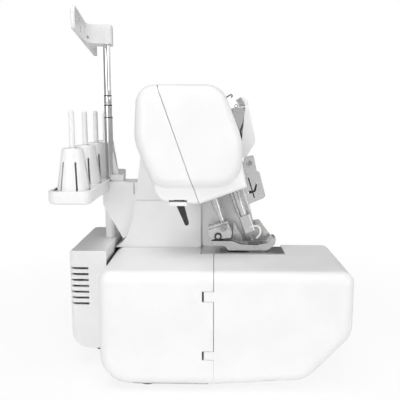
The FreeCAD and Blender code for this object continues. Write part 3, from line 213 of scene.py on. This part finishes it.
def finish(
    name, low, high, rough, metallic=0.0, spots=60.0, grain=900.0, bump=0.04, stretch=(1, 1, 1),
):
    """Material whose colour runs from low to high and whose roughness spans rough."""
    material = bpy.data.materials.new(name)
    material.use_nodes = True
    tree = material.node_tree
    shader = tree.nodes["Principled BSDF"]
    shader.inputs["Metallic"].default_value = metallic
    place = add_node(tree, "TexCoord")
    mapping = add_node(tree, "Mapping", scale=stretch)
    tree.links.new(place.outputs["Object"], mapping.inputs["Vector"])
    cloud = add_node(tree, "TexNoise", scale=spots, detail=cloud_detail)
    tree.links.new(mapping.outputs["Vector"], cloud.inputs["Vector"])
    ramp = add_node(tree, "ValToRGB")
    ramp.color_ramp.elements[0].position = ramp_start
    ramp.color_ramp.elements[1].position = ramp_end
    ramp.color_ramp.elements[0].color = (*low, 1.0)
    ramp.color_ramp.elements[1].color = (*high, 1.0)
    tree.links.new(cloud.outputs["Fac"], ramp.inputs["Fac"])
    # Painted shade: ambient occlusion multiplies the base colour down towards painted_shade_tone in
    # gaps and seams, standing in for the shade that falls there.
    painted_shade = add_node(tree, "AmbientOcclusion", distance=painted_shade_reach)
    painted_shade.samples = painted_shade_samples
    unshaded_share = add_node(
        tree, "MapRange", from_min=painted_shade_shut, from_max=painted_shade_open, to_min=painted_shade_tone,
    )
    tree.links.new(painted_shade.outputs["AO"], unshaded_share.inputs["Value"])
    tone = add_node(tree, "Mix")
    tone.data_type = "RGBA"
    tone.blend_type = "MULTIPLY"
    tone.inputs["Factor"].default_value = 1.0
    tree.links.new(ramp.outputs["Color"], tone.inputs["A"])
    tree.links.new(unshaded_share.outputs["Result"], tone.inputs["B"])
    tree.links.new(tone.outputs["Result"], shader.inputs["Base Color"])
    gloss = add_node(tree, "MapRange", to_min=rough[0], to_max=rough[1])
    tree.links.new(cloud.outputs["Fac"], gloss.inputs["Value"])
    tree.links.new(gloss.outputs["Result"], shader.inputs["Roughness"])
    fine = add_node(tree, "TexNoise", scale=grain, detail=fine_detail)
    tree.links.new(mapping.outputs["Vector"], fine.inputs["Vector"])
    relief = add_node(tree, "Bump", strength=bump, distance=relief_depth)
    tree.links.new(fine.outputs["Fac"], relief.inputs["Height"])
    tree.links.new(relief.outputs["Normal"], shader.inputs["Normal"])
    print("finish:", name)
    return material


# %% [markdown]
# The mouldings are injection-moulded plastic in one white, with a satin surface. The
# small controls are a slightly darker white with a stronger grain.

# %% Plastics
white_moulding = finish(
    "white_moulding", (0.80, 0.80, 0.80), (0.84, 0.84, 0.84), (0.30, 0.42), spots=25.0, bump=0.03,
)
white_control = finish(
    "white_control", (0.76, 0.76, 0.76), (0.82, 0.82, 0.82), (0.34, 0.46), spots=40.0, bump=0.06,
)
black_lever = finish(
    "black_lever", (0.012, 0.012, 0.012), (0.025, 0.025, 0.025), (0.35, 0.5),
    spots=120.0, bump=0.12,
)
rubber_black = finish(
    "rubber_black", (0.02, 0.02, 0.02), (0.04, 0.04, 0.04), (0.7, 0.85), spots=90.0, bump=0.2,
)
lens_white = finish(
    "lens_white", (0.85, 0.85, 0.80), (0.90, 0.90, 0.86), (0.2, 0.3), spots=60.0, bump=0.02,
)

# %% [markdown]
# Steel parts show the direction they were ground in, so their noise is stretched along
# one axis. The needle plate is brushed across, the parts at the needles are plated and
# bright, the pole is smooth, and the inner frame is rough cast metal.

# %% Metals
ground_steel = finish(
    "ground_steel", (0.30, 0.30, 0.305), (0.46, 0.46, 0.465), (0.22, 0.38),
    metallic=1.0, spots=70.0, grain=700.0, bump=0.05, stretch=(1, 1, 6),
)
bright_plating = finish(
    "bright_plating", (0.55, 0.55, 0.55), (0.61, 0.61, 0.61), (0.24, 0.30),
    metallic=0.75, spots=30.0, grain=800.0, bump=0.02, stretch=(1, 1, 4),
)
plate_steel = finish(
    "plate_steel", (0.60, 0.60, 0.602), (0.74, 0.74, 0.744), (0.30, 0.45),
    metallic=1.0, spots=60.0, grain=500.0, bump=0.08, stretch=(8, 0.6, 1),
)
polished_plating = finish(
    "polished_plating", (0.62, 0.62, 0.625), (0.72, 0.72, 0.725), (0.06, 0.14),
    metallic=1.0, spots=30.0, bump=0.01,
)
cast_metal = finish(
    "cast_metal", (0.42, 0.42, 0.43), (0.52, 0.52, 0.53), (0.45, 0.6),
    metallic=0.8, spots=150.0, grain=600.0, bump=0.25,
)
blackened_steel = finish(
    "blackened_steel", (0.030, 0.030, 0.031), (0.060, 0.060, 0.061), (0.35, 0.5),
    metallic=0.6, spots=120.0, grain=900.0, bump=0.06,
)

# %% [markdown]
# Each CAD node takes one finish. The list is by finish, so that a piece can be moved to
# another one by moving its name.

# %% Finishes on the solids
finishes = [
    (white_moulding, [
        "left_end_cover", "side_cover", "bed_casing", "head_rear_cover", "head_front_cover",
        "arm_casing", "column_cover", "right_cover", "looper_cover", "tension_panel", "motor_box",
        "spool_stand", "stand_post", "cone_holders", "spool_pins", "thread_guide_bar",
    ]),
    (white_control, [
        "tension_dial_1", "tension_dial_2", "tension_dial_3", "tension_dial_4",
        "stitch_length_dial", "differential_dial", "handwheel",
    ]),
    (black_lever, ["lifter_lever", "power_switch", "inlet_socket"]),
    (rubber_black, ["rubber_feet", "drive_belt"]),
    (lens_white, ["lamp"]),
    (plate_steel, ["needle_plate"]),
    (ground_steel, [
        "main_shaft", "shaft_bushes", "clamp_screws", "foot_screw", "cover_hinge_pins",
        "pivot_pins", "cover_screws", "lower_looper", "upper_looper", "lower_knife", "feed_dog",
        "shaft_pulley", "motor_pulley", "motor",
    ]),
    (bright_plating, [
        "needle_bar", "presser_bar", "needles", "needle_clamp", "foot_holder", "foot_pin",
        "presser_foot", "upper_knife", "thread_plate", "tension_end_plate", "bar_housing",
    ]),
    (polished_plating, ["pole_lower", "pole_middle", "pole_upper"]),
    (cast_metal, ["main_frame", "base_plate"]),
]
for material, names in finishes:
    for name in names:
        mesh = nodes[name].data
        mesh.materials.clear()
        mesh.materials.append(material)
print("finished nodes:", sum(len(names) for _, names in finishes))

# %% [markdown]
# Wires are drawn out ring by ring: a small disc stands at the first place, and each
# extrusion carries it one step along the path and turns it into the next direction.
# A curve with a bevel would do as well, but the extruded ring gives a closed mesh at once.

# %% Helper for bent wire
mm = 0.001
wire_sides = 10
wire_smooth = math.radians(50)
bend_steps = 6


def rounded_path(x, places):
    """Smooth line through (y, z) places in millimetres, in the plane at one X."""
    spots = [Vector((x, y, z)) * mm for y, z in places]
    spots = [spots[0] * 2 - spots[1]] + spots + [spots[-1] * 2 - spots[-2]]
    line = []
    for before, here, after, beyond in zip(spots, spots[1:], spots[2:], spots[3:]):
        for step in range(bend_steps):
            t = step / bend_steps
            pull = (after - before) * t
            pull += (before * 2 - here * 5 + after * 4 - beyond) * t ** 2
            pull += (here * 3 - before - after * 3 + beyond) * t ** 3
            line.append(here + pull / 2)
    line.append(spots[-2])
    return line


def bent_wire(name, places, material, body, x, radius):
    """Round wire along a path in the plane at one X; sizes are in millimetres."""
    line = rounded_path(x, places)
    heading = line[1] - line[0]
    bpy.ops.object.select_all(action="DESELECT")
    bpy.ops.mesh.primitive_circle_add(
        vertices=wire_sides, radius=radius * mm, fill_type="NGON", location=line[0],
        rotation=heading.to_track_quat("Z", "Y").to_euler(),
    )
    wire = bpy.context.object
    wire.name = name
    bpy.ops.object.transform_apply(location=True, rotation=True, scale=True)
    bpy.ops.object.mode_set(mode="EDIT")
    bpy.ops.mesh.select_all(action="SELECT")
    for here, after, beyond in zip(line, line[1:], line[2:] + line[-1:]):
        bpy.ops.mesh.extrude_region_move(TRANSFORM_OT_translate={"value": after - here})
        turn = (after - here).cross(beyond - after).x
        bend = math.copysign((after - here).angle(beyond - after, 0.0), turn)
        bpy.ops.transform.rotate(
            value=-bend, orient_axis="X", orient_type="GLOBAL", center_override=after,
        )
    bpy.ops.mesh.select_all(action="SELECT")
    bpy.ops.mesh.normals_make_consistent(inside=False)
    bpy.ops.object.mode_set(mode="OBJECT")
    bpy.ops.object.shade_smooth_by_angle(angle=wire_smooth)
    wire.data.materials.append(material)
    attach(wire, body)
    print(name, len(wire.data.polygons), "faces")


# %% [markdown]
# Four small wires belong to the thread path and the foot: a white loop below the needle
# clamp, a short hook on top of the head, a dark check wire across the end of the tension
# panel, and the dark spring that lies along the edge of the foot. The white loop dips into
# the opening of the foot when the needles are down, so it is bent to stay clear of its rim.

# %% Thread wires
clamp_path = [
    (-53.0, 150.0), (-58.0, 151.4), (-61.8, 150.6), (-63.7, 147.2), (-63.3, 142.0), (-59.6, 137.6),
]
hook_path = [(-19.0, 286.0), (-25.0, 289.8), (-29.0, 292.2), (-30.6, 291.2), (-29.6, 289.4)]
check_path = [(-46.2, 279.6), (-45.8, 271.0), (-43.8, 262.0), (-41.6, 255.6), (-42.4, 247.0)]
foot_path = [
    (-10.5, 135.4), (-21.0, 135.3), (-32.8, 135.3), (-41.2, 132.2), (-51.0, 131.4), (-61.0, 130.9),
]

bent_wire("clamp_wire", clamp_path, lens_white, "needle_assembly", x=-80.6, radius=0.95)
bent_wire("head_hook", hook_path, blackened_steel, "machine", x=-108.0, radius=0.6)
bent_wire("check_wire", check_path, blackened_steel, "machine", x=-69.2, radius=0.65)
bent_wire("foot_wire", foot_path, blackened_steel, "foot", x=-84.3, radius=0.45)

# %% [markdown]
# Flat rings all start as a circle of edges that is drawn in to a band. The band is
# extruded to its thickness, and a bevel takes the sharp edges off.

# %% Helper for flat rings
soft_angle = math.radians(40)
soft_steps = 2
ring_sides = 40
ring_soft = 0.12 * mm


def soften(piece, width):
    """Bevel the sharp edges of a piece, then shade the rest smooth."""
    bevel = piece.modifiers.new("soft_edges", "BEVEL")
    bevel.width = width
    bevel.segments = soft_steps
    bevel.limit_method = "ANGLE"
    bevel.angle_limit = soft_angle
    bpy.context.view_layer.objects.active = piece
    bpy.ops.object.modifier_apply(modifier="soft_edges")
    bpy.ops.object.select_all(action="DESELECT")
    piece.select_set(True)
    bpy.ops.object.shade_smooth_by_angle(angle=soft_angle)


def flat_ring(name, place, turn, rise, material, body, outer, bore):
    """Ring round a place, from outer to bore (radii in millimetres), carried along rise."""
    inward = bore / outer
    bpy.ops.object.select_all(action="DESELECT")
    bpy.ops.mesh.primitive_circle_add(
        vertices=ring_sides, radius=outer * mm, fill_type="NOTHING", location=place, rotation=turn,
    )
    ring = bpy.context.object
    ring.name = name
    bpy.ops.object.transform_apply(location=True, rotation=True, scale=True)
    bpy.ops.object.mode_set(mode="EDIT")
    bpy.ops.mesh.select_all(action="SELECT")
    bpy.ops.mesh.extrude_region_move(TRANSFORM_OT_translate={"value": (0, 0, 0)})
    bpy.ops.transform.resize(value=(inward, inward, inward), center_override=place)
    bpy.ops.mesh.select_all(action="SELECT")
    bpy.ops.mesh.extrude_region_move(TRANSFORM_OT_translate={"value": rise})
    bpy.ops.mesh.select_all(action="SELECT")
    bpy.ops.mesh.normals_make_consistent(inside=False)
    bpy.ops.object.mode_set(mode="OBJECT")
    soften(ring, ring_soft)
    ring.data.materials.append(material)
    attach(ring, body)
    print(name, len(ring.data.polygons), "faces")


# %% [markdown]
# A black snap ring lies round the left end of the foot's pin. The pin's own box gives
# its place.

# %% Snap ring
across = (0, math.pi / 2, 0)
snap_rise = Vector((-0.7, 0, 0)) * mm
pin_low, pin_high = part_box("foot_pin")
pin_middle = (pin_low + pin_high) / 2
pin_place = Vector((pin_low.x, pin_middle.y, pin_middle.z))

flat_ring(
    "snap_ring", pin_place, across, snap_rise, rubber_black, "presser", outer=4.0, bore=2.3,
)

# %% [markdown]
# The ends of the pole's tubes have dark stop rings, and a crimped collar on the middle
# tube guides the upper one. The heights are counted from the ends of the tubes. When the
# middle tube is right down, its ring stays just above the end of the lower tube.

# %% Rings of the pole
upright = (0, 0, 0)
tube_low, tube_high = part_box("pole_lower")
pole_middle_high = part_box("pole_middle")[1]
pole_axis = (tube_low + tube_high) / 2
pole_axis.z = 0.0
lower_drop, middle_drop, collar_drop = 1.4 * mm, 0.85 * mm, 0.1 * mm
lower_stop = pole_axis + Vector((0, 0, tube_high.z - lower_drop))
middle_stop = pole_axis + Vector((0, 0, pole_middle_high.z - middle_drop))
collar_place = pole_axis + Vector((0, 0, pole_middle_high.z - collar_drop))
stop_rise = Vector((0, 0, 1.1)) * mm
collar_rise = Vector((0, 0, 10.2)) * mm
upper_stop = collar_place + collar_rise

flat_ring(
    "pole_ring_lower", lower_stop, upright, stop_rise, blackened_steel, "machine",
    outer=5.0, bore=4.55,
)
flat_ring(
    "pole_ring_middle", middle_stop, upright, stop_rise, blackened_steel, "tube_middle",
    outer=4.6, bore=4.15,
)
flat_ring(
    "pole_collar", collar_place, upright, collar_rise, polished_plating, "tube_middle",
    outer=4.15, bore=3.84,
)
flat_ring(
    "pole_ring_upper", upper_stop, upright, stop_rise, blackened_steel, "tube_middle",
    outer=4.35, bore=3.84,
)

# %% [markdown]
# The thread plate is held by a slotted screw. Its head is a short cylinder with a softened
# edge, and a long thin block cuts the slot.

# %% Screw on the thread plate
plate_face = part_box("thread_plate")[0].x
screw_place = Vector((plate_face - 0.6 * mm, -49.6 * mm, 221.5 * mm))
screw_sides = 40
screw_radius = 2.8 * mm
screw_height = 1.3 * mm
screw_soft = 0.25 * mm
slot_width = 0.7 * mm
slot_length = screw_radius * 3
slot_turn = math.radians(30)

bpy.ops.object.select_all(action="DESELECT")
bpy.ops.mesh.primitive_cube_add(
    size=1.0, location=screw_place - Vector((screw_height / 2, 0, 0)), rotation=(slot_turn, 0, 0),
    scale=(screw_height, slot_width, slot_length),
)
slot_block = bpy.context.object
bpy.ops.object.select_all(action="DESELECT")
bpy.ops.mesh.primitive_cylinder_add(
    vertices=screw_sides, radius=screw_radius, depth=screw_height, location=screw_place,
    rotation=across,
)
plate_screw = bpy.context.object
plate_screw.name = "plate_screw"
bpy.ops.object.transform_apply(location=True, rotation=True, scale=True)
cut = plate_screw.modifiers.new("slot", "BOOLEAN")
cut.object = slot_block
cut.operation = "DIFFERENCE"
bpy.ops.object.modifier_apply(modifier="slot")
bpy.data.objects.remove(slot_block)
soften(plate_screw, screw_soft)
plate_screw.data.materials.append(ground_steel)
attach(plate_screw, "machine")
print("plate screw", len(plate_screw.data.polygons), "faces")

# %% [markdown]
# Behind the slots of the thread plate lies a dark spring leaf that the threads slip
# under. A block is leaned to the angle of the slot, its inner face is inset and pushed in,
# and the edges are softened.

# %% Spring leaf behind the thread plate
leaf_place = Vector((plate_face + 2.1 * mm, -53.6 * mm, 195.5 * mm))
leaf_size = Vector((0.8, 10.5, 25.0)) * mm
leaf_lean = math.radians(-16)
leaf_rim = 1.6 * mm
leaf_dent = 0.3 * mm
leaf_soft = 0.15 * mm
facing = 0.9

bpy.ops.object.select_all(action="DESELECT")
bpy.ops.mesh.primitive_cube_add(
    size=1.0, location=leaf_place, rotation=(leaf_lean, 0, 0), scale=leaf_size,
)
spring_leaf = bpy.context.object
spring_leaf.name = "spring_leaf"
bpy.ops.object.transform_apply(location=True, rotation=True, scale=True)
bpy.ops.object.mode_set(mode="EDIT")
bpy.ops.mesh.select_all(action="DESELECT")
bpy.ops.object.mode_set(mode="OBJECT")
for face in spring_leaf.data.polygons:
    face.select = face.normal.x > facing
bpy.ops.object.mode_set(mode="EDIT")
bpy.ops.mesh.select_mode(type="FACE")
bpy.ops.mesh.inset(thickness=leaf_rim, depth=-leaf_dent)
bpy.ops.object.mode_set(mode="OBJECT")
soften(spring_leaf, leaf_soft)
spring_leaf.data.materials.append(blackened_steel)
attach(spring_leaf, "machine")
print("spring leaf", len(spring_leaf.data.polygons), "faces")

# %% [markdown]
# A short check spring sits where the tension panel meets the head. A small ring of
# edges is swept along a screw line, and the open ends are filled.

# %% Check spring
spring_place = Vector((-72.0, -36.5, 281.6)) * mm
coil_radius = 1.7 * mm
coil_wire = 0.32 * mm
coil_sides = 8
coil_turns = 5
coil_steps = 20
coil_pitch = 1.05 * mm
coil_gap = coil_pitch - 2 * coil_wire
round_smooth = math.radians(60)

bpy.ops.object.select_all(action="DESELECT")
bpy.ops.mesh.primitive_circle_add(
    vertices=coil_sides, radius=coil_wire, fill_type="NOTHING", location=(0, 0, coil_radius),
    rotation=(math.pi / 2, 0, 0),
)
check_spring = bpy.context.object
check_spring.name = "check_spring"
bpy.ops.object.transform_apply(location=True, rotation=True, scale=True)
sweep = check_spring.modifiers.new("sweep", "SCREW")
sweep.axis = "X"
sweep.angle = coil_turns * math.tau
sweep.screw_offset = coil_turns * coil_pitch
sweep.steps = coil_turns * coil_steps
bpy.ops.object.modifier_apply(modifier="sweep")
check_spring.location = spring_place
bpy.ops.object.transform_apply(location=True, rotation=True, scale=True)
bpy.ops.object.mode_set(mode="EDIT")
bpy.ops.mesh.select_all(action="SELECT")
bpy.ops.mesh.fill_holes(sides=coil_sides)
bpy.ops.mesh.select_all(action="SELECT")
bpy.ops.mesh.normals_make_consistent(inside=False)
bpy.ops.object.mode_set(mode="OBJECT")
bpy.ops.object.shade_smooth_by_angle(angle=round_smooth)
check_spring.data.materials.append(ground_steel)
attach(check_spring, "machine")
print("check spring", coil_turns, "turns,", round(coil_gap / mm, 2), "mm between them")

# %% [markdown]
# The eight holes in the thread guide have rolled rims on both faces. One rim is spun
# from a small ring, copied to each hole, and the whole set is turned with the bar.
# The holes are placed along the bar, and upwards from its lower edge.

# %% Rims of the thread guide
guide_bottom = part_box("thread_guide_bar")[0].z / mm
guide_faces = (20.0, 24.0)
guide_lean = math.radians(7.3)
hole_places = ((-7.0, 13.5), (7.0, 5.5))
spool_count = 4
spool_pitch = 56.0
rim_radius = 2.2 * mm
rim_wire = 0.42 * mm
rim_sides = 8
rim_steps = 28
merge_reach = 0.02 * mm

bpy.ops.object.select_all(action="DESELECT")
bpy.ops.mesh.primitive_circle_add(
    vertices=rim_sides, radius=rim_wire, fill_type="NOTHING", location=(rim_radius, 0, 0),
)
guide_rims = bpy.context.object
guide_rims.name = "guide_rims"
bpy.ops.object.transform_apply(location=True, rotation=True, scale=True)
bpy.ops.object.mode_set(mode="EDIT")
bpy.ops.mesh.select_all(action="SELECT")
bpy.ops.mesh.spin(steps=rim_steps, angle=math.tau, center=(0, 0, 0), axis=(0, 1, 0))
bpy.ops.mesh.select_all(action="SELECT")
bpy.ops.mesh.remove_doubles(threshold=merge_reach)
bpy.ops.mesh.normals_make_consistent(inside=False)
holes = []
for i in range(spool_count):
    along = spool_pitch * (i - (spool_count - 1) / 2)
    for shift, height in hole_places:
        for face in guide_faces:
            holes.append(Vector((along + shift, face, guide_bottom + height)) * mm)
bpy.ops.transform.translate(value=holes[0])
for before, hole in zip(holes, holes[1:]):
    bpy.ops.mesh.duplicate_move(TRANSFORM_OT_translate={"value": hole - before})
bpy.ops.object.mode_set(mode="OBJECT")
guide_rims.rotation_euler = (0, 0, guide_lean)
guide_rims.location = pole_axis
bpy.ops.object.transform_apply(location=True, rotation=True, scale=True)
bpy.ops.object.shade_smooth_by_angle(angle=round_smooth)
guide_rims.data.materials.append(bright_plating)
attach(guide_rims, "guide")
print("guide rims", len(holes))
